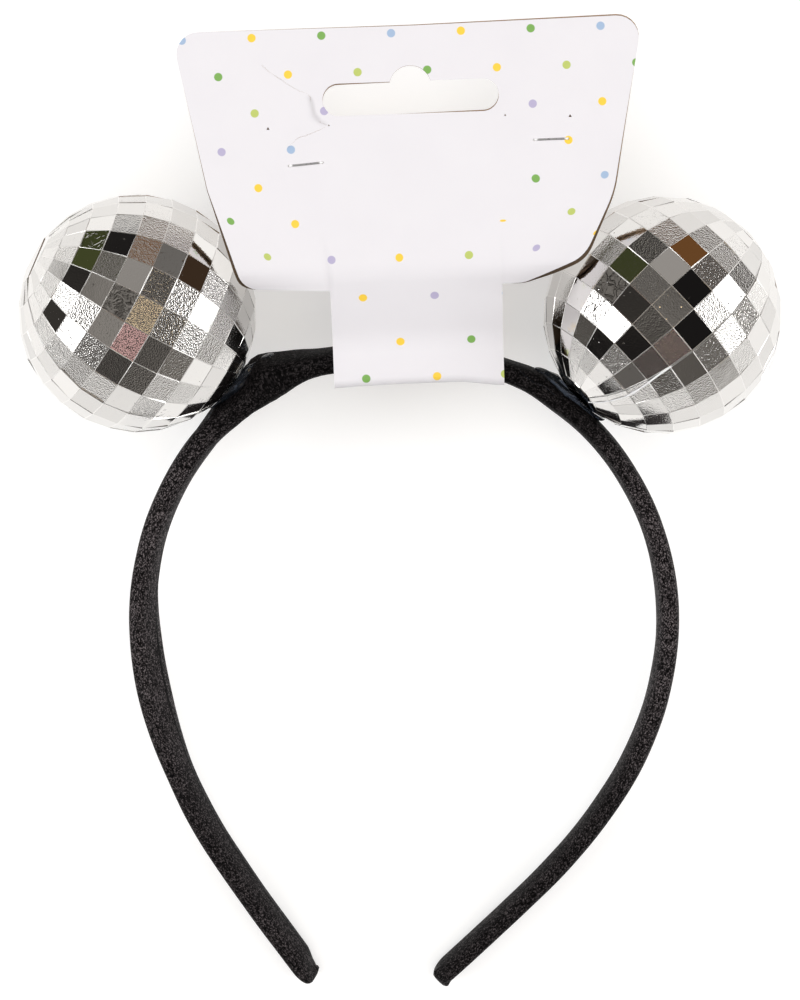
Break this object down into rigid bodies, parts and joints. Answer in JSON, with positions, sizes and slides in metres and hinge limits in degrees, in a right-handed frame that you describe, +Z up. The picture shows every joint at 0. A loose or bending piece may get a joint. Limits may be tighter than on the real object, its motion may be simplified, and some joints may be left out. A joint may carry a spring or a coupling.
{
  "type": "party headband on a hanging card",
  "caption": "Satin-covered party headband with faceted silver mirror balls glued on, looped through a stapled white hanging card.",
  "frame": {"origin": "middle of the footprint, on the floor that the balls and the band's tips rest on", "axes": "+X to the right seen from above with the card away from the viewer, +Y from the tips to the crown and the card's top, +Z up from the floor"},
  "size_m": [0.1762, 0.2246, 0.0545],
  "materials": {
    "satin": "black satin ribbon with a fine diagonal weave",
    "mirror_plastic": "vacuum-metallised silver facets",
    "clear_glue": "clear hot-melt adhesive",
    "card": "white coated board with small printed dots, brown inside",
    "staple_wire": "bright wire"
  },
  "bodies": {
    "root": {"band": "satin", "ball_left_front": "mirror_plastic", "ball_left_back": "mirror_plastic", "ball_right_front": "mirror_plastic", "ball_right_back": "mirror_plastic", "glue_left": "clear_glue", "glue_right": "clear_glue", "hang_card": "card", "staple_left": "staple_wire", "staple_right": "staple_wire"}
  },
  "joints": []
}
